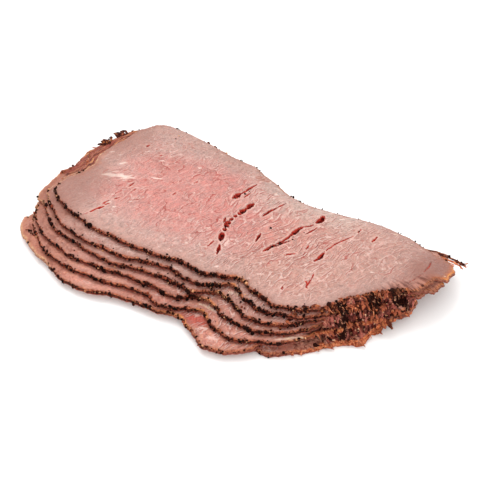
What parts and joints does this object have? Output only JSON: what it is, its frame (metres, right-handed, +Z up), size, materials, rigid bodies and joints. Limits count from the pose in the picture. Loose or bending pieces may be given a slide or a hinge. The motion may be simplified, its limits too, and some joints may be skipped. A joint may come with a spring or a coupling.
{
  "type": "sliced roast beef",
  "caption": "Thin slices of pink roast beef with a dark cracked-pepper crust, fanned in an overlapping pile that lies flat and droops at the back and right end.",
  "frame": {"origin": "Under the middle of the pile's outer box, on the surface the pile lies on.", "axes": "+X along the slices, from their broad end to their narrow end; +Y across them, away from the side where the lower slices show; +Z up."},
  "size_m": [0.2388, 0.1506, 0.0207],
  "materials": {
    "flesh": "moist cut meat, satin",
    "crust": "browned, rough",
    "pepper": "cracked grains, dull"
  },
  "bodies": {
    "root": {"slice_1": "flesh", "slice_2": "flesh", "slice_3": "flesh", "slice_4": "flesh", "slice_5": "flesh", "slice_6": "flesh", "slice_7": "flesh"}
  },
  "joints": []
}
